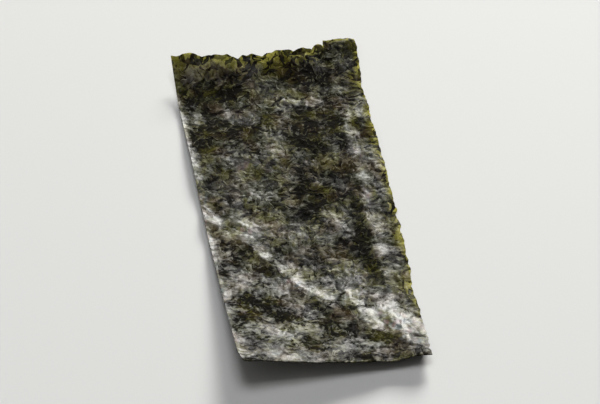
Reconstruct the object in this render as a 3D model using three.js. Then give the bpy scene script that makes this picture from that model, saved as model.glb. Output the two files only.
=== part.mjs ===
// Seasoned nori sheet: a strip of pressed, roasted laver, one tenth of a full
// sheet. It is dry and crisp, so it rests on its middle with its ends sprung up.
//
// Millimetres. +X runs across the strip, +Y along it to the uncut end, +Z up.
// The origin is on the surface below the middle of the strip.

import * as THREE from "three";

// ---- The strip, as cut from the full sheet ----
const WIDTH = 41;
const LENGTH = 94; // in plan: the strip itself is about 95 mm, because it is bowed
const THICKNESS = 0.3;
const HALF_WIDTH = WIDTH / 2;
const HALF_LENGTH = LENGTH / 2;

// ---- Uncut edges, as the pulp dried in its frame: lobes between notches ----
// Each notch is [place along the edge, how far it stands out past the straight edge].
const FAR_NOTCHES = [
  [-18.4, -0.2], [-13.8, -0.8], [-5.9, -1.5], [-0.5, -1.4],
  [6.5, -1], [10.7, -0.7], [13.2, -0.2],
];
const FAR_LOBE_RISE = 0.65;
const LOBE_FLATNESS = 3; // the higher, the flatter a lobe's top and the steeper its sides
const TAB_START = 13.2; // the far edge's right end stands out as a square tab
const TAB_REACH = 1.5;
const RIGHT_NOTCHES = [[-44, -0.9], [-27, -0.95], [-6, -0.05], [22, -0.25], [34, -0.2], [47, 0.6]];
const RIGHT_LOBE_RISE = 0.35;

// ---- Worn corner between the two cut edges ----
const WORN_CORNER = 0.8;
const WORN_LENGTH = 4;

// ---- How the strip is bowed ----
const CURL_LENGTH = 14; // the far end curls up over this length
const CURL_LIFT = 3.8;
const CURL_TWIST = 1.65; // its left corner springs up higher, its right one lower
const ARCH_PLACE = 18; // a low arch runs across, ahead of the curl
const ARCH_LENGTH = 9;
const ARCH_HEIGHT = 1.3;
const NEAR_CURL_LENGTH = 20;
const NEAR_CURL_LIFT = 0.4;

// ---- A soft fold runs slantwise from the left edge to the right one ----
const FOLD_START = 0.56; // where it leaves the left edge, as a share of the length from the near end
const FOLD_END = 0.12; // where it meets the right edge
const CORNER_LIFT = 8.2; // the near left corner stands this high beyond the fold
const CORNER_BEND = 1.5;

// ---- A long crease stands parallel to the right edge ----
const RIDGE_PLACE = 13.8;
const RIDGE_HALF_WIDTH = 1.7;
const RIDGE_HEIGHT = 0.5;
const RIDGE_NEAR_END = -27;
const RIDGE_FAR_END = 31;
const RIDGE_FADE = 8;

// ---- A crest runs past the fold, and is broader and higher to the right ----
const CREST_PLACE = 2.7; // how far past the fold it runs at the left edge
const CREST_HALF_WIDTH = 2.2;
const CREST_HEIGHT = 0.55;
const CREST_SHIFT = 8.5; // what its place, half width and height gain at the right edge
const CREST_SPREAD = 6.5;
const CREST_RISE = 1;
const CREST_SAG = 5.8; // it sags towards the near left corner on its way
const SAG_PLACE = -0.5;
const SAG_HALF_WIDTH = 10.5;
const CREST_UNEVENNESS = 0.2; // its height changes by this share
const UNEVENNESS_LENGTH = 9;

// ---- Shallow cockles from roasting, all over the strip: broad ones, and small ones between ----
const COCKLE_LENGTH = 17;
const COCKLE_BREADTH = 28;
const COCKLE_HEIGHT = 0.12;
const COCKLE_SLANT = 0.4;
const COCKLE_BEND_LENGTH = 24; // they wander to and fro over this length
const COCKLE_BEND_LAG = 1;
const SMALL_COCKLE_LENGTH = 10;
const SMALL_COCKLE_BREADTH = 13;
const SMALL_COCKLE_HEIGHT = 0.085;

// ---- The left cut edge has a lip, so has the near one's left half, and the near right tip turns up ----
const LIP_WIDTH = 2.2;
const LIP_HEIGHT = 0.35;
const NEAR_LIP_LENGTH = 6;
const NEAR_LIP_HEIGHT = 0.6;
const TIP_RADIUS = 7;
const TIP_LIFT = 0.3;

// ---- Facets ----
const FACETS_ACROSS = 38;
const FACETS_ALONG = 58;

const NORI_COLOUR = 0x34332a;

function mix(from, to, share) {
  return from + (to - from) * share;
}

// 0 before the start, 1 past the end, and straight between them.
function ramp(value, start, end) {
  return THREE.MathUtils.clamp((value - start) / (end - start), 0, 1);
}

// A smooth bump of height 1 and the given half width.
function bump(distance, halfWidth) {
  return Math.exp(-((distance / halfWidth) ** 2));
}

// A wave of height 1 and the given length, that lags by an angle in radians.
function wave(distance, length, lag = 0) {
  return Math.sin((2 * Math.PI * distance) / length + lag);
}

// The outline of an uncut edge: flat-topped lobes that rise between its notches.
function uncutEdge(place, notches, lobeRise) {
  const last = notches.length - 1;
  let index = 0;
  while (index < last - 1 && place > notches[index + 1][0]) {
    index += 1;
  }
  const [start, startReach] = notches[index];
  const [end, endReach] = notches[index + 1];
  const share = ramp(place, start, end);
  const lobe = 1 - Math.abs(2 * share - 1) ** LOBE_FLATNESS;
  return mix(startReach, endReach, share) + lobeRise * lobe;
}

function farEdge(x) {
  if (x > TAB_START) {
    return HALF_LENGTH + TAB_REACH;
  }
  return HALF_LENGTH + uncutEdge(x, FAR_NOTCHES, FAR_LOBE_RISE);
}

function rightEdge(y) {
  return HALF_WIDTH + uncutEdge(y, RIGHT_NOTCHES, RIGHT_LOBE_RISE);
}

function leftEdge(y) {
  const worn = ramp(y, WORN_LENGTH - HALF_LENGTH, -HALF_LENGTH);
  return -HALF_WIDTH + WORN_CORNER * worn ** 2;
}

// The large bow: curled ends and a low arch.
function bow(x, y) {
  const farRun = ramp(y, HALF_LENGTH - CURL_LENGTH, HALF_LENGTH);
  const farLift = CURL_LIFT - CURL_TWIST * (x / HALF_WIDTH);
  const nearRun = ramp(y, NEAR_CURL_LENGTH - HALF_LENGTH, -HALF_LENGTH);
  const arch = ARCH_HEIGHT * bump(y - ARCH_PLACE, ARCH_LENGTH);
  return farLift * farRun ** 2 + NEAR_CURL_LIFT * nearRun ** 2 + arch;
}

// How far a point lies past the diagonal fold: 0 on it, 1 at the near left corner.
function pastFold(x, y) {
  const across = (x + HALF_WIDTH) / WIDTH;
  const along = (y + HALF_LENGTH) / LENGTH;
  return (mix(FOLD_START, FOLD_END, across) - along) / FOLD_START;
}

function liftedCorner(x, y) {
  return CORNER_LIFT * Math.max(pastFold(x, y), 0) ** CORNER_BEND;
}

function longRidge(x, y) {
  const nearFade = ramp(y, RIDGE_NEAR_END, RIDGE_NEAR_END + RIDGE_FADE);
  const farFade = ramp(y, RIDGE_FAR_END, RIDGE_FAR_END - RIDGE_FADE);
  return RIDGE_HEIGHT * nearFade * farFade * bump(x - RIDGE_PLACE, RIDGE_HALF_WIDTH);
}

function foldCrest(x, y) {
  const foldRise = ((FOLD_START - FOLD_END) * LENGTH) / WIDTH;
  const pastFoldLine = (pastFold(x, y) * FOLD_START * LENGTH) / Math.hypot(1, foldRise);
  const toRight = ramp(x, 0, HALF_WIDTH);
  const sag = CREST_SAG * bump(x - SAG_PLACE, SAG_HALF_WIDTH);
  const pastCrest = pastFoldLine - CREST_PLACE - CREST_SHIFT * toRight ** 2 - sag;
  const unevenness = 1 - CREST_UNEVENNESS * wave(x, UNEVENNESS_LENGTH);
  const height = (CREST_HEIGHT + CREST_RISE * toRight) * unevenness;
  return height * bump(pastCrest, CREST_HALF_WIDTH + CREST_SPREAD * toRight);
}

function cockles(x, y) {
  const bend = wave(y, COCKLE_BEND_LENGTH, COCKLE_BEND_LAG);
  const along = y + COCKLE_SLANT * x;
  const across = x - COCKLE_SLANT * y;
  const broad = wave(along, COCKLE_LENGTH, bend) * wave(across, COCKLE_BREADTH, Math.PI / 2);
  const small = wave(across, SMALL_COCKLE_LENGTH, 2 * bend) * wave(along, SMALL_COCKLE_BREADTH);
  return COCKLE_HEIGHT * broad + SMALL_COCKLE_HEIGHT * small;
}

function turnedEdges(x, y) {
  const lip = LIP_HEIGHT * ramp(x, LIP_WIDTH - HALF_WIDTH, -HALF_WIDTH) ** 2;
  const nearLipHeight = NEAR_LIP_HEIGHT * ramp(x, 0, -HALF_WIDTH);
  const nearLip = nearLipHeight * ramp(y, NEAR_LIP_LENGTH - HALF_LENGTH, -HALF_LENGTH) ** 2;
  const tipDistance = Math.hypot(HALF_WIDTH - x, y + HALF_LENGTH);
  const tip = TIP_LIFT * ramp(tipDistance, TIP_RADIUS, 0) ** 2;
  return lip + nearLip + tip;
}

// Height of the underside over the plane that the strip was pressed flat on.
function undersideHeight(x, y) {
  const form = bow(x, y) + liftedCorner(x, y);
  return form + longRidge(x, y) + foldCrest(x, y) + cockles(x, y) + turnedEdges(x, y);
}

// A flat box of many facets, bent: each corner of its grid goes to the same
// share of the way between the strip's edges, and up to the bent surface.
function noriGeometry() {
  const geometry = new THREE.BoxGeometry(WIDTH, LENGTH, THICKNESS, FACETS_ACROSS, FACETS_ALONG, 1);
  const corners = geometry.attributes.position;
  for (let index = 0; index < corners.count; index += 1) {
    const flatX = corners.getX(index);
    const flatY = corners.getY(index);
    const isTop = corners.getZ(index) > 0;
    const x = mix(leftEdge(flatY), rightEdge(flatY), (flatX + HALF_WIDTH) / WIDTH);
    const y = mix(-HALF_LENGTH, farEdge(flatX), (flatY + HALF_LENGTH) / LENGTH);
    const z = undersideHeight(x, y) + (isTop ? THICKNESS : 0);
    corners.setXYZ(index, x, y, z);
  }
  geometry.computeBoundingBox();
  const { min, max } = geometry.boundingBox;
  geometry.translate(-(min.x + max.x) / 2, -(min.y + max.y) / 2, -min.z);
  geometry.computeVertexNormals();
  return geometry;
}

const noriMaterial = new THREE.MeshStandardMaterial({ color: NORI_COLOUR, roughness: 0.45, metalness: 0 });
const nori = new THREE.Mesh(noriGeometry(), noriMaterial);
nori.name = "nori_sheet";

const part = new THREE.Group();
part.add(nori);

export default part;
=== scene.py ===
import math

import bmesh
import bpy
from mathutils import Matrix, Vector, noise


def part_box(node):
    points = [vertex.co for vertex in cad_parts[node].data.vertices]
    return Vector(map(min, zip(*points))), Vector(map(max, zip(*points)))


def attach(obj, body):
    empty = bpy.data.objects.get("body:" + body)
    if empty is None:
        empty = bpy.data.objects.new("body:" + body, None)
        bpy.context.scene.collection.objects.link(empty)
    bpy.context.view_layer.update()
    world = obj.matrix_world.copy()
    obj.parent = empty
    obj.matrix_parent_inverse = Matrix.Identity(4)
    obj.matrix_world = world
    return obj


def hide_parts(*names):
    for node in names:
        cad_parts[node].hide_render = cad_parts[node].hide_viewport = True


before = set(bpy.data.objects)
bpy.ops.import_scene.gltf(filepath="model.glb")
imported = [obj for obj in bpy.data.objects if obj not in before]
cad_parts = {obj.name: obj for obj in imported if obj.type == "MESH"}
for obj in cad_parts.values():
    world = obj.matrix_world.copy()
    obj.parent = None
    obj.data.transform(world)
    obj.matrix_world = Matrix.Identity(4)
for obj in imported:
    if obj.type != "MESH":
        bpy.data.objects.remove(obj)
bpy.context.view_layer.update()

# ---- The strip of nori ----
# One tenth of a full sheet of laver: chopped seaweed pulp, dried on a mat in a frame, roasted
# and seasoned, then cut. Two of its edges are clean cuts, and two are the ragged edges of the
# pulp. Here it is a fine grid, bent to the strip's form in millimetres, and given its thickness.
MM = 0.001
WIDTH = 41
LENGTH = 94
THICKNESS = 0.3
HALF_WIDTH = WIDTH / 2
HALF_LENGTH = LENGTH / 2
GRID_ACROSS = 146
GRID_ALONG = 336
GRID_HALF_SIDE = 0.5  # it starts as a square of side 1, round the origin

# Each notch of an uncut edge is its place along the edge and how far it stands out.
FAR_NOTCHES = [
    (-18.4, -0.2), (-13.8, -0.8), (-5.9, -1.5), (-0.5, -1.4),
    (6.5, -1), (10.7, -0.7), (13.2, -0.2),
]
FAR_LOBE_RISE = 0.65
LOBE_FLATNESS = 3
TAB_START = 13.2
TAB_REACH = 1.5
RIGHT_NOTCHES = [(-44, -0.9), (-27, -0.95), (-6, -0.05), (22, -0.25), (34, -0.2), (47, 0.6)]
RIGHT_LOBE_RISE = 0.35
WORN_CORNER = 0.8
WORN_LENGTH = 4


def mix(start, end, share):
    return start + (end - start) * share


def ramp(value, start, end):
    """0 before the start, 1 past the end, and straight between them."""
    return min(max((value - start) / (end - start), 0), 1)


def bump(distance, half_width):
    """A smooth bump of height 1."""
    return math.exp(-((distance / half_width) ** 2))


def uncut_edge(place, notches, lobe_rise):
    """The outline of an uncut edge: flat-topped lobes that rise between its notches."""
    index = 0
    while index < len(notches) - 2 and place > notches[index + 1][0]:
        index += 1
    start, start_reach = notches[index]
    end, end_reach = notches[index + 1]
    share = ramp(place, start, end)
    lobe = 1 - abs(2 * share - 1) ** LOBE_FLATNESS
    return mix(start_reach, end_reach, share) + lobe_rise * lobe


def far_edge(x):
    if x > TAB_START:
        return HALF_LENGTH + TAB_REACH
    return HALF_LENGTH + uncut_edge(x, FAR_NOTCHES, FAR_LOBE_RISE)


def right_edge(y):
    return HALF_WIDTH + uncut_edge(y, RIGHT_NOTCHES, RIGHT_LOBE_RISE)


def left_edge(y):
    worn = ramp(y, WORN_LENGTH - HALF_LENGTH, -HALF_LENGTH)
    return -HALF_WIDTH + WORN_CORNER * worn**2


# The strip's bow: its far end curls up, it arches a little ahead of that, and its near left
# corner is sprung up past a soft diagonal fold. These are the same forms as the solid's.
CURL_LENGTH = 14
CURL_LIFT = 3.8
CURL_TWIST = 1.65
ARCH_PLACE = 18
ARCH_LENGTH = 9
ARCH_HEIGHT = 1.3
NEAR_CURL_LENGTH = 20
NEAR_CURL_LIFT = 0.4
FOLD_START = 0.56
FOLD_END = 0.12
CORNER_LIFT = 8.2
CORNER_BEND = 1.5


def bow(x, y):
    far_run = ramp(y, HALF_LENGTH - CURL_LENGTH, HALF_LENGTH)
    far_lift = CURL_LIFT - CURL_TWIST * (x / HALF_WIDTH)
    near_run = ramp(y, NEAR_CURL_LENGTH - HALF_LENGTH, -HALF_LENGTH)
    arch = ARCH_HEIGHT * bump(y - ARCH_PLACE, ARCH_LENGTH)
    return far_lift * far_run**2 + NEAR_CURL_LIFT * near_run**2 + arch


def past_fold(x, y):
    """How far a point lies past the diagonal fold: 0 on it, 1 at the near left corner."""
    across = (x + HALF_WIDTH) / WIDTH
    along = (y + HALF_LENGTH) / LENGTH
    return (mix(FOLD_START, FOLD_END, across) - along) / FOLD_START


# A long crease stands parallel to the right edge, and a crest runs past the fold, and is broader
# and higher to the right. Small rucks break up the crest's left part.
RIDGE_PLACE = 13.8
RIDGE_HALF_WIDTH = 1.7
RIDGE_HEIGHT = 0.5
RIDGE_NEAR_END = -27
RIDGE_FAR_END = 31
RIDGE_FADE = 8
CREST_PLACE = 2.7
CREST_HALF_WIDTH = 2.2
CREST_HEIGHT = 0.55
CREST_SHIFT = 8.5
CREST_SPREAD = 6.5
CREST_RISE = 1.0
CREST_SAG = 5.8
SAG_PLACE = -0.5
SAG_HALF_WIDTH = 10.5
CREST_UNEVENNESS = 0.2
UNEVENNESS_LENGTH = 9
RUCKING = 1.2
RUCK_LENGTH = 4.5
RUCK_LEVEL = 8  # each pattern is read at a level of its own in the noise, so none repeats another


def wave(distance, length, lag=0):
    """A wave of height 1, that lags by an angle in radians."""
    return math.sin(2 * math.pi * distance / length + lag)


def long_ridge(x, y):
    near_fade = ramp(y, RIDGE_NEAR_END, RIDGE_NEAR_END + RIDGE_FADE)
    far_fade = ramp(y, RIDGE_FAR_END, RIDGE_FAR_END - RIDGE_FADE)
    return RIDGE_HEIGHT * near_fade * far_fade * bump(x - RIDGE_PLACE, RIDGE_HALF_WIDTH)


def past_crest(x, y):
    """How far a point lies past the crest: 0 on it, and 1 at its half width."""
    fold_rise = (FOLD_START - FOLD_END) * LENGTH / WIDTH
    past_fold_line = past_fold(x, y) * FOLD_START * LENGTH / math.hypot(1, fold_rise)
    to_right = ramp(x, 0, HALF_WIDTH)
    sag = CREST_SAG * bump(x - SAG_PLACE, SAG_HALF_WIDTH)
    past = past_fold_line - CREST_PLACE - CREST_SHIFT * to_right**2 - sag
    return past / (CREST_HALF_WIDTH + CREST_SPREAD * to_right)


def fold_crest(x, y):
    to_right = ramp(x, 0, HALF_WIDTH)
    rucks = RUCKING * (1 - to_right) * noise.noise(Vector((x, y, RUCK_LEVEL)) / RUCK_LENGTH)
    unevenness = 1 - CREST_UNEVENNESS * wave(x, UNEVENNESS_LENGTH) + rucks
    return (CREST_HEIGHT + CREST_RISE * to_right) * unevenness * bump(past_crest(x, y), 1)


# Roasting leaves shallow cockles all over it: broad ones, and small ones between them. The left
# cut edge has a lip, so has the near one's left half, and the near right tip turns up.
COCKLE_LENGTH = 17
COCKLE_BREADTH = 28
COCKLE_HEIGHT = 0.12
COCKLE_SLANT = 0.4
COCKLE_BEND_LENGTH = 24
COCKLE_BEND_LAG = 1
SMALL_COCKLE_LENGTH = 10
SMALL_COCKLE_BREADTH = 13
SMALL_COCKLE_HEIGHT = 0.085
LIP_WIDTH = 2.2
LIP_HEIGHT = 0.35
NEAR_LIP_LENGTH = 6
NEAR_LIP_HEIGHT = 0.6
TIP_RADIUS = 7
TIP_LIFT = 0.3


def cockles(x, y):
    bend = wave(y, COCKLE_BEND_LENGTH, COCKLE_BEND_LAG)
    along = y + COCKLE_SLANT * x
    across = x - COCKLE_SLANT * y
    broad = wave(along, COCKLE_LENGTH, bend) * wave(across, COCKLE_BREADTH, math.pi / 2)
    small = wave(across, SMALL_COCKLE_LENGTH, 2 * bend) * wave(along, SMALL_COCKLE_BREADTH)
    return COCKLE_HEIGHT * broad + SMALL_COCKLE_HEIGHT * small


def turned_edges(x, y):
    lip = LIP_HEIGHT * ramp(x, LIP_WIDTH - HALF_WIDTH, -HALF_WIDTH) ** 2
    near_lip_height = NEAR_LIP_HEIGHT * ramp(x, 0, -HALF_WIDTH)
    near_lip = near_lip_height * ramp(y, NEAR_LIP_LENGTH - HALF_LENGTH, -HALF_LENGTH) ** 2
    tip_distance = math.hypot(HALF_WIDTH - x, y + HALF_LENGTH)
    tip = TIP_LIFT * ramp(tip_distance, TIP_RADIUS, 0) ** 2
    return lip + near_lip + tip


def form_height(x, y):
    corner = CORNER_LIFT * max(past_fold(x, y), 0) ** CORNER_BEND
    form = bow(x, y) + corner + long_ridge(x, y) + fold_crest(x, y)
    return form + cockles(x, y) + turned_edges(x, y)


# Handling has rubbed the mat smooth and oily on the flank of the crest, most of all to the right,
# beside the long crease, on the left lip and in patches. Other patches are bare of oil and matte,
# and so are the far end and the left part past the crest, a little.
FLANK_PLACE = -0.6
FLANK_HALF_WIDTH = 0.7
FLANK_RUB = 0.7
FLANK_PATCHINESS = 1.5
FLANK_PATCH_LENGTH = 3
FLANK_PATCH_LEVEL = 4
FLANK_RIGHT_RUB = 0.5
RIDGE_RUB = 0.6
RIDGE_RUB_HALF_WIDTH = 1.5
LEFT_RUB_HALF_WIDTH = 1
FAR_DRYNESS = 0.65
FAR_DRY_START = 10
FAR_DRY_END = 28
NEAR_DRYNESS = 0.3
NEAR_DRY_WIDTH = 12

# Each patch is its middle's x and y, then its half width and half length.
OILY_PATCHES = [
    (-19, 5, 3, 6), (-13, -4, 3, 4), (-5, -20, 4, 4), (7, -26, 3, 3), (15, -35, 4.5, 7),
    (-14, -44, 8, 3), (-9, -37, 5, 4), (3, 33, 7, 4), (-14, 44, 5, 3), (15, 44, 5, 4),
    (-6, 13, 7, 5), (5, 14, 5, 3), (-20, 13, 1.5, 7),
]
MATTE_PATCHES = [
    (-10, 40, 9, 3), (-18, 25, 4, 4), (-8, 28, 5, 3), (6, 21, 3, 4), (4, 5, 6, 3),
    (-15, -29, 4.5, 4), (-8, -31, 4, 2.5), (1, -34, 4, 5), (12, -10, 1.5, 12), (1, 44, 9, 3),
    (5, -45, 4, 3), (20, -47, 3, 4),
]


def in_patches(x, y, patches):
    return max(
        bump(x - middle_x, half_width) * bump(y - middle_y, half_length)
        for middle_x, middle_y, half_width, half_length in patches
    )


def oiliness(x, y):
    """1 where the mat is smooth and oily, -1 where it is matte, and 0 between."""
    past = past_crest(x, y)
    patchiness = noise.noise(Vector((x, y, FLANK_PATCH_LEVEL)) / FLANK_PATCH_LENGTH)
    rubbed = FLANK_RUB + FLANK_PATCHINESS * patchiness + FLANK_RIGHT_RUB * ramp(x, 0, HALF_WIDTH)
    flank = rubbed * bump(past - FLANK_PLACE, FLANK_HALF_WIDTH)
    beside_ridge = RIDGE_RUB * bump(x - RIDGE_PLACE - RIDGE_HALF_WIDTH, RIDGE_RUB_HALF_WIDTH)
    left_lip = bump(x + HALF_WIDTH, LEFT_RUB_HALF_WIDTH)
    far_dryness = FAR_DRYNESS * ramp(y, FAR_DRY_START, FAR_DRY_END)
    near_dryness = NEAR_DRYNESS * ramp(past, 0, 1) * ramp(x, NEAR_DRY_WIDTH, 0)
    dryness = max(far_dryness, near_dryness) * (1 - left_lip)
    oily = max(flank, beside_ridge, left_lip, in_patches(x, y, OILY_PATCHES))
    return oily - max(in_patches(x, y, MATTE_PATCHES), dryness)


# The mat of laver: chopped blades a few millimetres long, lying over each other every way. Each
# layer is its blades' direction in radians, their length and their width. All wander to and fro
# by the same bend, and the highest blade at a point is the one seen.
BLADE_LAYERS = [(0.3, 2.6, 0.9), (1.2, 2.2, 0.8), (2.0, 3.0, 1.1), (2.8, 1.8, 0.7)]
LAYER_SPACING = 7  # how far apart in the noise the layers are read
BLADE_BEND = 0.8
BLADE_BEND_LENGTH = 3.1
BEND_SEED = 1  # without it, the bend would differ from run to run
BLADE_STEP = 0.12
BLADE_CROWN = 0.16
BLADE_TILT = 0.25
CHANCE_SPACING = 91  # gives neighbouring blades unlike chances
SHALLOW_LEVEL = 0.7  # from this share of the step down to the deep one, a point is between blades
DEEP_LEVEL = 0.15
CRUMPLE_HEIGHT = 0.38
CRUMPLE_LENGTH = 7
CRUMPLE_LEVEL = 5
CRUMPLE_MIDDLE = 0.5
CRUMPLE_DETAIL = 3

noise.seed_set(BEND_SEED)


def laver_mat(x, y):
    """Height of the mat, how deep a point lies between the blades, and its blade's own shade."""
    bend = noise.noise_vector(Vector((x, y, 0)) / BLADE_BEND_LENGTH) * BLADE_BEND
    top, shade = -math.inf, 0
    for turn, length, width in BLADE_LAYERS:
        along = (x + bend.x) * math.cos(turn) + (y + bend.y) * math.sin(turn)
        across = (y + bend.y) * math.cos(turn) - (x + bend.x) * math.sin(turn)
        place = Vector((along / length, across / width, turn * LAYER_SPACING))
        distances, centres = noise.voronoi(place)
        chance = noise.cell_vector(centres[0] * CHANCE_SPACING)
        offset = place - centres[0]
        level = BLADE_STEP * chance.x - BLADE_CROWN * distances[0] ** 2
        level += BLADE_TILT * ((chance.y - 0.5) * offset.x + (chance.z - 0.5) * offset.y)
        if level > top:
            top, shade = level, (chance.x + chance.y) % 1
    depth = ramp(top, BLADE_STEP * SHALLOW_LEVEL, BLADE_STEP * DEEP_LEVEL)
    return top, depth, shade


def crumple(x, y):
    """Height of the crumpled form under the blades, which has sharp creases."""
    fold = noise.turbulence(Vector((x, y, CRUMPLE_LEVEL)) / CRUMPLE_LENGTH, CRUMPLE_DETAIL, True)
    return CRUMPLE_HEIGHT * (CRUMPLE_MIDDLE - fold)


# Loose pulp fringes the two uncut edges. The mat is thin there: in a broad band along the far
# edge, but a narrow one on its tab, and in a narrow, patchy one along the right edge, which
# fades out before the near corner.
FRINGE_REACH = 0.45
FRINGE_LENGTH = 2.2
FRINGE_WIDTH = 4
FRINGE_DETAIL = 2
RIGHT_FRINGE_LEVEL = 3
FAR_FRINGE_LEVEL = 9
FAR_THIN_WIDTH = 5.5
TAB_NARROWING = 0.75
TAB_BLEND = 1
RIGHT_THIN_WIDTH = 2.4
THIN_PATCH_LENGTH = 7
THIN_PATCH_LEVEL = 6
NEAR_THIN_END = -43
NEAR_THIN_FADE = 12
THIN_EDGE_SHARE = 0.5  # of the thickness, where the pulp is thinnest
SHARP_ANGLE = 60


def fringe(place, level):
    """How far the loose pulp stands out at a place along an edge."""
    point = Vector((place / FRINGE_LENGTH, level, 0))
    return FRINGE_REACH * noise.turbulence(point, FRINGE_DETAIL, False)


def thinness(x, y, to_far_edge, to_right_edge):
    """1 at the uncut edges, where the pulp is thin, and 0 where the mat is full."""
    on_tab = ramp(x, TAB_START - TAB_BLEND, TAB_START + TAB_BLEND)
    far_width = FAR_THIN_WIDTH * (1 - TAB_NARROWING * on_tab)
    patchiness = noise.noise(Vector((y / THIN_PATCH_LENGTH, THIN_PATCH_LEVEL, 0)))
    right_width = RIGHT_THIN_WIDTH * (1 + patchiness)
    near_fade = ramp(y, NEAR_THIN_END, NEAR_THIN_END + NEAR_THIN_FADE)
    return max(ramp(to_far_edge, far_width, 0), ramp(to_right_edge, right_width, 0) * near_fade)


strip = bmesh.new()
bmesh.ops.create_grid(
    strip, x_segments=GRID_ACROSS, y_segments=GRID_ALONG, size=GRID_HALF_SIDE
)
depth_layer = strip.verts.layers.float.new("depth")
shade_layer = strip.verts.layers.float.new("shade")
thin_layer = strip.verts.layers.float.new("thin")
under_layer = strip.verts.layers.float.new("under")
oily_layer = strip.verts.layers.float.new("oily")

low_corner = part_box("nori_sheet")[0]
place_x = low_corner[0] + HALF_WIDTH * MM
place_y = low_corner[1] + HALF_LENGTH * MM
for vertex in strip.verts:
    flat_x, flat_y = vertex.co.x * WIDTH, vertex.co.y * LENGTH
    right, far = right_edge(flat_y), far_edge(flat_x)
    to_right = ramp(flat_x, HALF_WIDTH - FRINGE_WIDTH, HALF_WIDTH)
    to_far = ramp(flat_y, HALF_LENGTH - FRINGE_WIDTH, HALF_LENGTH)
    x = mix(left_edge(flat_y), right, vertex.co.x + GRID_HALF_SIDE)
    x += fringe(flat_y, RIGHT_FRINGE_LEVEL) * to_right**2
    y = mix(-HALF_LENGTH, far, vertex.co.y + GRID_HALF_SIDE)
    y += fringe(flat_x, FAR_FRINGE_LEVEL) * to_far**2
    mat_height, depth, shade = laver_mat(x, y)
    vertex[depth_layer] = depth
    vertex[shade_layer] = shade
    vertex[oily_layer] = oiliness(x, y)
    vertex[thin_layer] = thinness(x, y, far - y, right - x)
    height = form_height(x, y) + mat_height + crumple(x, y)
    vertex.co = (place_x + x * MM, place_y + y * MM, height * MM)

# The same grid a thickness lower is the underside, and a rim joins the two.
grown = bmesh.ops.extrude_face_region(strip, geom=strip.faces[:], use_keep_orig=True)
for element in grown["geom"]:
    if isinstance(element, bmesh.types.BMVert):
        element[under_layer] = 1
        element.co.z -= THICKNESS * MM * mix(1, THIN_EDGE_SHARE, element[thin_layer])
bmesh.ops.recalc_face_normals(strip, faces=strip.faces[:])
lowest = min(vertex.co.z for vertex in strip.verts)
bmesh.ops.translate(strip, verts=strip.verts[:], vec=(0, 0, low_corner[2] - lowest))
for face in strip.faces:
    face.smooth = True

strip_mesh = bpy.data.meshes.new("nori_strip")
strip.to_mesh(strip_mesh)
strip.free()
strip_mesh.set_sharp_from_angle(angle=math.radians(SHARP_ANGLE))
nori_strip = bpy.data.objects.new("nori_strip", strip_mesh)
bpy.context.collection.objects.link(nori_strip)
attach(nori_strip, "root")
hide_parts("nori_sheet")


# The laver's finish: near-black olive blades with an oily satin sheen, rough between them and
# painted darker there, as shade. It is brown in patches, has painted teal and purple glints where
# it is smooth, and is painted yellow-green as light through the thin pulp at the uncut edges.
def add_node(tree, kind, inputs, **settings):
    """A shader node, with a value or a link for each of the given inputs."""
    node = tree.nodes.new("ShaderNode" + kind)
    for name, setting in settings.items():
        setattr(node, name, setting)
    for name, value in inputs.items():
        if isinstance(value, bpy.types.NodeSocket):
            tree.links.new(value, node.inputs[name])
        else:
            node.inputs[name].default_value = value
    return node


def add_math(tree, operation, *values):
    return add_node(tree, "Math", dict(enumerate(values)), operation=operation).outputs[0]


def add_vector_math(tree, operation, *values):
    node = add_node(tree, "VectorMath", dict(enumerate(values)), operation=operation)
    return node.outputs["Value" if operation == "DOT_PRODUCT" else "Vector"]


def add_sum(tree, start, weighted):
    """The start value, plus each of the other values times its weight."""
    total = start
    for value, weight in weighted:
        total = add_math(tree, "MULTIPLY_ADD", value, weight, total)
    return total


def add_remap(tree, value, given_range, wanted_range=(0, 1)):
    """A value that goes over the wanted range while the given one goes over its own range."""
    inputs = {
        "Value": value,
        "From Min": given_range[0],
        "From Max": given_range[1],
        "To Min": wanted_range[0],
        "To Max": wanted_range[1],
    }
    return add_node(tree, "MapRange", inputs).outputs["Result"]


def add_mix(tree, factor, first, second):
    return add_node(tree, "Mix", {"Factor": factor, "A": first, "B": second}).outputs["Result"]


def add_colour_mix(tree, factor, first, second):
    """A Mix node's inputs 6 and 7 are its two colours, and its output 2 is the mixed one."""
    node = add_node(tree, "Mix", {0: factor, 6: first, 7: second}, data_type="RGBA")
    return node.outputs[2]


def add_colour_ramp(tree, value, stops):
    """Colours blended in order, each stop being its place from 0 to 1 and its colour."""
    node = add_node(tree, "ValToRGB", {"Fac": value})
    elements = node.color_ramp.elements
    while len(elements) < len(stops):
        elements.new(1)
    for element, (place, colour) in zip(elements, stops):
        element.position = place
        element.color = (*colour, 1)
    return node.outputs["Color"]


# One layer of blades, all laid about one way: each is a long cell with a crowned back, at its
# own level, tilt and shade. Its heights are in millimetres.
LAYER_STEP = 0.14
LAYER_CROWN = 0.16
LAYER_TILT = 0.24
SHADE_SHUFFLE = 7  # keeps a blade's shade from following its tilt

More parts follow.
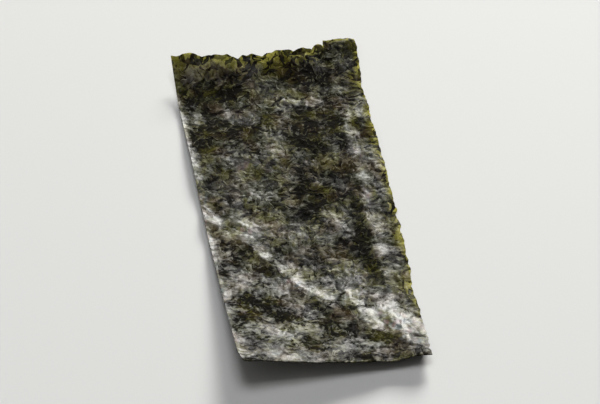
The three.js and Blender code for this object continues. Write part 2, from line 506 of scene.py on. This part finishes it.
blades = bpy.data.node_groups.new("laver_blades", "ShaderNodeTree")
blades.interface.new_socket("Vector", in_out="INPUT", socket_type="NodeSocketVector")
for name in ("Length", "Width", "Turn"):
    blades.interface.new_socket(name, in_out="INPUT", socket_type="NodeSocketFloat")
for name in ("Height", "Shade"):
    blades.interface.new_socket(name, in_out="OUTPUT", socket_type="NodeSocketFloat")
given = blades.nodes.new("NodeGroupInput").outputs
turn_inputs = {"Vector": given["Vector"], "Angle": given["Turn"]}
turned = add_node(blades, "VectorRotate", turn_inputs, rotation_type="Z_AXIS")
cell_size = add_node(blades, "CombineXYZ", {"X": given["Length"], "Y": given["Width"], "Z": 1})
cell_place = add_vector_math(blades, "DIVIDE", turned.outputs[0], cell_size.outputs[0])
cell_inputs = {"Vector": cell_place, "Scale": 1}
cell = add_node(blades, "TexVoronoi", cell_inputs, voronoi_dimensions="2D").outputs
offset = add_vector_math(blades, "SUBTRACT", cell_place, cell["Position"])
chance = add_node(blades, "SeparateColor", {0: cell["Color"]}).outputs
tilt_direction = add_vector_math(blades, "SUBTRACT", cell["Color"], (0.5, 0.5, 0.5))
tilt = add_vector_math(blades, "DOT_PRODUCT", offset, tilt_direction)
squared = add_math(blades, "POWER", cell["Distance"], 2)
level = add_math(blades, "MULTIPLY", chance["Blue"], LAYER_STEP)
level = add_sum(blades, level, [(squared, -LAYER_CROWN), (tilt, LAYER_TILT)])
shuffled = add_math(blades, "MULTIPLY", chance["Green"], SHADE_SHUFFLE)
shade = add_math(blades, "FRACT", shuffled)
put_out = blades.nodes.new("NodeGroupOutput").inputs
blades.links.new(level, put_out["Height"])
blades.links.new(shade, put_out["Shade"])

# Each kind of blade is its length, its width and its direction in radians. The fine ones lie over
# each other, membranes are broad, chips make small smooth spots, and glints place the painted
# glints.
FINE_LAYERS = [(4.6, 0.8, 0.4), (3.2, 0.7, 1.5), (5.4, 1.0, 2.5), (2.8, 0.9, 3.0)]
MEMBRANES = (5.5, 3.2, 0.5)
CHIPS = (2.2, 1.1, 1.1)
GLINTS = (1.6, 0.9, 2.1)
FINE_BEND = 2.0
LAVER_COLOURS = [
    (0.0, (0.002, 0.0016, 0.0005)),
    (0.25, (0.013, 0.0123, 0.0032)),
    (0.5, (0.0345, 0.0348, 0.016)),
    (0.75, (0.066, 0.068, 0.045)),
    (1.0, (0.128, 0.133, 0.104)),
]
OLIVE_COLOURS = [
    (0.0, (0.003, 0.0024, 0.0003)),
    (0.25, (0.016, 0.0145, 0.001)),
    (0.5, (0.041, 0.0380, 0.003)),
    (0.75, (0.072, 0.069, 0.011)),
    (1.0, (0.125, 0.121, 0.035)),
]
BROWN_COLOURS = [
    (0.0, (0.004, 0.002, 0.0005)),
    (0.5, (0.037, 0.021, 0.006)),
    (1.0, (0.120, 0.090, 0.058)),
]
TEAL_GLINT_COLOUR = (0.055, 0.105, 0.130, 1)
PURPLE_GLINT_COLOUR = (0.210, 0.105, 0.115, 1)
STRAND_AND_SHEEN_COLOUR = (0.26, 0.24, 0.17, 1)
THIN_LIGHT_THROUGH_COLOUR = (0.36, 0.33, 0.05, 1)

laver = bpy.data.materials.new("roasted_laver")
laver.use_nodes = True
tree = laver.node_tree
laver_shader = tree.nodes["Principled BSDF"]
object_place = add_node(tree, "TexCoord", {}).outputs["Object"]
place = add_vector_math(tree, "MULTIPLY", object_place, (1 / MM, 1 / MM, 0))


def add_noise(scale, detail, roughness=0.5):
    """Noise over the flat sheet, with about scale features to a millimetre."""
    inputs = {"Vector": place, "Scale": scale, "Detail": detail, "Roughness": roughness}
    return add_node(tree, "TexNoise", inputs, noise_dimensions="2D").outputs


drift = add_noise(scale=0.35, detail=1)["Color"]
bend_scale = (FINE_BEND, FINE_BEND, 0)
bent_place = add_vector_math(tree, "MULTIPLY_ADD", drift, bend_scale, place)


def add_blades(length, width, turn):
    """The height and the shade of one layer of blades."""
    inputs = {"Vector": bent_place, "Length": length, "Width": width, "Turn": turn}
    return add_node(tree, "Group", inputs, node_tree=blades).outputs


def add_attribute(name):
    return add_node(tree, "Attribute", {}, attribute_name=name).outputs["Fac"]


# The highest fine blade at a point gives its height and its shade.
lowest_layer, *upper_layers = [add_blades(*layer) for layer in FINE_LAYERS]
fine_height = lowest_layer["Height"]
fine_shade = lowest_layer["Shade"]
for layer in upper_layers:
    on_top = add_math(tree, "GREATER_THAN", layer["Height"], fine_height)
    fine_shade = add_mix(tree, on_top, fine_shade, layer["Shade"])
    fine_height = add_math(tree, "MAXIMUM", fine_height, layer["Height"])

grain = add_noise(scale=2.2, detail=3)["Fac"]
membrane = add_blades(*MEMBRANES)
chip_shade = add_blades(*CHIPS)["Shade"]
glint_shade = add_blades(*GLINTS)["Shade"]
patches = add_noise(scale=0.12, detail=5, roughness=0.65)["Fac"]
hue_noise = add_noise(scale=0.16, detail=2)
tint = add_node(tree, "SeparateColor", {0: hue_noise["Color"]}).outputs
wrinkles = add_node(
    tree,
    "TexNoise",
    {"Vector": bent_place, "Scale": 0.45, "Detail": 1, "Offset": 1, "Gain": 1},
    noise_dimensions="2D",
    noise_type="RIDGED_MULTIFRACTAL",
).outputs["Fac"]
depth = add_attribute("depth")
coarse_shade = add_attribute("shade")
thin = add_attribute("thin")
oily = add_attribute("oily")
under = add_attribute("under")

# Smoothness comes in broad patches and on single membranes, goes with the oil, and is less on
# the underside. Gloss varies from blade to blade besides, and is less between them.
SMOOTH_RANGE = (1.95, 2.5)
GLOSS_RANGE = (1.42, 2.35)
smoothness = add_math(tree, "MULTIPLY", membrane["Shade"], 0.42)
smoothness = add_sum(tree, smoothness, [(patches, 2.3), (oily, 0.45), (under, -0.3)])
smooth_share = add_sum(tree, smoothness, [(oily, 0.4), (chip_shade, 0.4)])
smooth_share = add_remap(tree, smooth_share, SMOOTH_RANGE)
gloss = add_sum(tree, smoothness, [(fine_shade, 0.5), (depth, -0.4), (grain, 0.6)])
gloss = add_remap(tree, gloss, GLOSS_RANGE)

# The tone says how light a blade is, and picks its colour from the ramps.
TONE_DROP = 0.80
OLIVE_RANGE = (0.44, 0.51)
BROWN_RANGE = (0.5, 0.6)
MOST_BROWN = 0.85
LEAST_MEMBRANE_BROWN = 0.4
tone = add_math(tree, "MULTIPLY", coarse_shade, 0.35)
# The depth term darkens the colour between the blades, as painted shade.
tone = add_sum(tree, tone, [(fine_shade, 0.55), (hue_noise["Fac"], 1.3), (depth, -0.2)])
# The gloss and oil terms lighten it where the sheen falls, as painted sheen, and the thin term
# lightens it where light comes through the thin pulp, as painted light.
tone = add_sum(tree, tone, [(gloss, 0.3), (oily, 0.15), (thin, 0.22)])
tone = add_math(tree, "SUBTRACT", tone, TONE_DROP)
# Where the pulp is thin, the olive ramp is part of the painted light through it; elsewhere olive
# comes in random patches.
olive_share = add_math(tree, "MAXIMUM", thin, add_remap(tree, tint["Green"], OLIVE_RANGE))
brown_share = add_remap(tree, tint["Blue"], BROWN_RANGE, (0, MOST_BROWN))
membrane_brown = add_remap(tree, membrane["Shade"], (0, 1), (LEAST_MEMBRANE_BROWN, 1))
brown_share = add_math(tree, "MULTIPLY", brown_share, membrane_brown)
colour = add_colour_ramp(tree, tone, LAVER_COLOURS)
colour = add_colour_mix(tree, olive_share, colour, add_colour_ramp(tree, tone, OLIVE_COLOURS))
colour = add_colour_mix(tree, brown_share, colour, add_colour_ramp(tree, tone, BROWN_COLOURS))

# Over that come pale strands along the wrinkles, partly painted highlight on their crests,
# painted teal and purple glints where the laver is smooth and oily, and painted light through the
# thin edges.
STRAND_AND_SHEEN_RANGE = (1.15, 1.37)
MOST_STRAND_AND_SHEEN = 0.4
GLINT_OIL_RANGE = (0.2, 0.8)
LEAST_OIL_GLINT = 0.35
TEAL_RANGE = (0.18, 0.10)
PURPLE_RANGE = (0.78, 0.88)
MOST_GLINT = 0.42
LIGHT_THROUGH_SHADE_RANGE = (0.3, 0.9)
# Pale strands on the wrinkle crests: partly fibres, partly painted highlight where the crests
# catch light.
strand_and_sheen_share = add_remap(tree, wrinkles, STRAND_AND_SHEEN_RANGE, (0, MOST_STRAND_AND_SHEEN))
strand_and_sheen_share = add_math(tree, "MULTIPLY", fine_shade, strand_and_sheen_share)
colour = add_colour_mix(tree, strand_and_sheen_share, colour, STRAND_AND_SHEEN_COLOUR)
# Painted teal and purple glints, where the laver is smooth and oily.
painted_iridescence = add_remap(tree, oily, GLINT_OIL_RANGE, (LEAST_OIL_GLINT, 1))
painted_iridescence = add_math(tree, "MULTIPLY", smooth_share, painted_iridescence)
for glint_range, glint_colour in ((TEAL_RANGE, TEAL_GLINT_COLOUR), (PURPLE_RANGE, PURPLE_GLINT_COLOUR)):
    glint_share = add_remap(tree, glint_shade, glint_range, (0, MOST_GLINT))
    glint_share = add_math(tree, "MULTIPLY", painted_iridescence, glint_share)
    colour = add_colour_mix(tree, glint_share, colour, glint_colour)
# Painted light shining through the thin pulp at the uncut edges, in yellow-green.
light_through_share = add_remap(tree, fine_shade, LIGHT_THROUGH_SHADE_RANGE)
light_through_share = add_math(tree, "MULTIPLY", add_math(tree, "POWER", thin, 2), light_through_share)
colour = add_colour_mix(tree, light_through_share, colour, THIN_LIGHT_THROUGH_COLOUR)
tree.links.new(colour, laver_shader.inputs["Base Color"])

# The oil is a coat, fullest where the laver is smooth and least where it is thin.
ROUGHNESS_RANGE = (1.0, 0.4)
BLADE_COAT = 0.42
SMOOTH_COAT = 0.85
THIN_COAT = 0.3
COAT_ROUGHNESS = 0.39
SPECULAR_LEVEL = 0.15
roughness = add_remap(tree, gloss, (0, 1), ROUGHNESS_RANGE)
tree.links.new(roughness, laver_shader.inputs["Roughness"])
coat = add_mix(tree, smooth_share, add_math(tree, "MULTIPLY", gloss, BLADE_COAT), SMOOTH_COAT)
coat = add_math(tree, "MULTIPLY", coat, add_remap(tree, thin, (0, 1), (1, THIN_COAT)))
tree.links.new(coat, laver_shader.inputs["Coat Weight"])
laver_shader.inputs["Coat Roughness"].default_value = COAT_ROUGHNESS
laver_shader.inputs["Specular IOR Level"].default_value = SPECULAR_LEVEL

# The fine blades' relief, in millimetres, is flatter where the laver is smooth.
RELIEF_RANGE = (1.25, 0.6)
relief = add_sum(tree, fine_height, [(grain, 0.08)])
relief = add_math(tree, "MULTIPLY", relief, add_remap(tree, smooth_share, (0, 1), RELIEF_RANGE))
relief = add_sum(tree, relief, [(wrinkles, 0.15), (membrane["Height"], 1.2)])
relief_normal = add_node(tree, "Bump", {"Distance": MM, "Height": relief}).outputs["Normal"]
tree.links.new(relief_normal, laver_shader.inputs["Normal"])
strip_mesh.materials.append(laver)

# ---- The floor ----
# A plain pale sweep under the strip. It isn't part of the object.
FLOOR_SIZE = 3
FLOOR_COLOUR = (0.72, 0.72, 0.71, 1)
FLOOR_ROUGHNESS = 0.7
floor_shape = bmesh.new()
bmesh.ops.create_grid(floor_shape, x_segments=1, y_segments=1, size=FLOOR_SIZE / 2)
floor_mesh = bpy.data.meshes.new("floor")
floor_shape.to_mesh(floor_mesh)
floor_shape.free()
floor = bpy.data.objects.new("floor", floor_mesh)
bpy.context.collection.objects.link(floor)
floor_paint = bpy.data.materials.new("pale_floor")
floor_paint.use_nodes = True
floor_shader = floor_paint.node_tree.nodes["Principled BSDF"]
floor_shader.inputs["Base Color"].default_value = FLOOR_COLOUR
floor_shader.inputs["Roughness"].default_value = FLOOR_ROUGHNESS
floor_mesh.materials.append(floor_paint)

# ---- The camera ----
# It looks down on the strip from in front and a little to its left, through a long lens.
VIEW_ELEVATION = math.radians(46.5)
VIEW_TURN = math.radians(10.1)
VIEW_DISTANCE = 0.8
TARGET_HEIGHT = 0.003
LENS = 224
SENSOR_WIDTH = 36
CLIP_START = 0.01
target = Vector((0, 0, TARGET_HEIGHT))
toward_camera = Vector((
    -math.sin(VIEW_TURN) * math.cos(VIEW_ELEVATION),
    -math.cos(VIEW_TURN) * math.cos(VIEW_ELEVATION),
    math.sin(VIEW_ELEVATION),
))
camera_data = bpy.data.cameras.new("camera")
camera_data.lens = LENS
camera_data.sensor_width = SENSOR_WIDTH
camera_data.clip_start = CLIP_START
camera = bpy.data.objects.new("camera", camera_data)
bpy.context.collection.objects.link(camera)
camera.location = target + toward_camera * VIEW_DISTANCE
camera.rotation_euler = (-toward_camera).to_track_quat("-Z", "Y").to_euler()
bpy.context.scene.camera = camera

# ---- The lights ----
# A soft light low behind the strip and a little to the right gives the sheen. A weak one above
# and a weaker one in front, to the left, fill the shadows.
WARM = (1, 0.99, 0.96)
COOL = (0.97, 0.99, 1)


def soft_light(name, turn, elevation, distance, size, power, colour):
    """An area light aimed at the strip. Its turn is clockwise from straight behind it."""
    turn = math.radians(turn) + VIEW_TURN
    elevation = math.radians(elevation)
    direction = Vector((
        math.sin(turn) * math.cos(elevation),
        math.cos(turn) * math.cos(elevation),
        math.sin(elevation),
    ))
    light_data = bpy.data.lights.new(name, "AREA")
    light_data.shape = "SQUARE"
    light_data.size = size
    light_data.energy = power
    light_data.color = colour
    light = bpy.data.objects.new(name, light_data)
    bpy.context.collection.objects.link(light)
    light.location = target + direction * distance
    light.rotation_euler = direction.to_track_quat("Z", "Y").to_euler()


soft_light("key", turn=15, elevation=28, distance=1.4, size=0.5, power=25, colour=WARM)
soft_light("top", turn=180, elevation=86, distance=1.2, size=0.5, power=5, colour=COOL)
soft_light("fill", turn=215, elevation=55, distance=1.6, size=1.2, power=2, colour=WARM)

# The world gives a little light all round, but looks brighter than that to the camera.
WORLD_LIGHT = 0.045
WORLD_LOOK = 0.7
world = bpy.data.worlds.new("world")
world.use_nodes = True
world_tree = world.node_tree
backdrop_shader = world_tree.nodes["Background"]
backdrop_shader.inputs["Color"].default_value = (1, 1, 1, 1)
is_seen = add_node(world_tree, "LightPath", {}).outputs["Is Camera Ray"]
backdrop_strength = add_remap(world_tree, is_seen, (0, 1), (WORLD_LIGHT, WORLD_LOOK))
world_tree.links.new(backdrop_strength, backdrop_shader.inputs["Strength"])
bpy.context.scene.world = world
bpy.context.scene.view_settings.view_transform = "Standard"
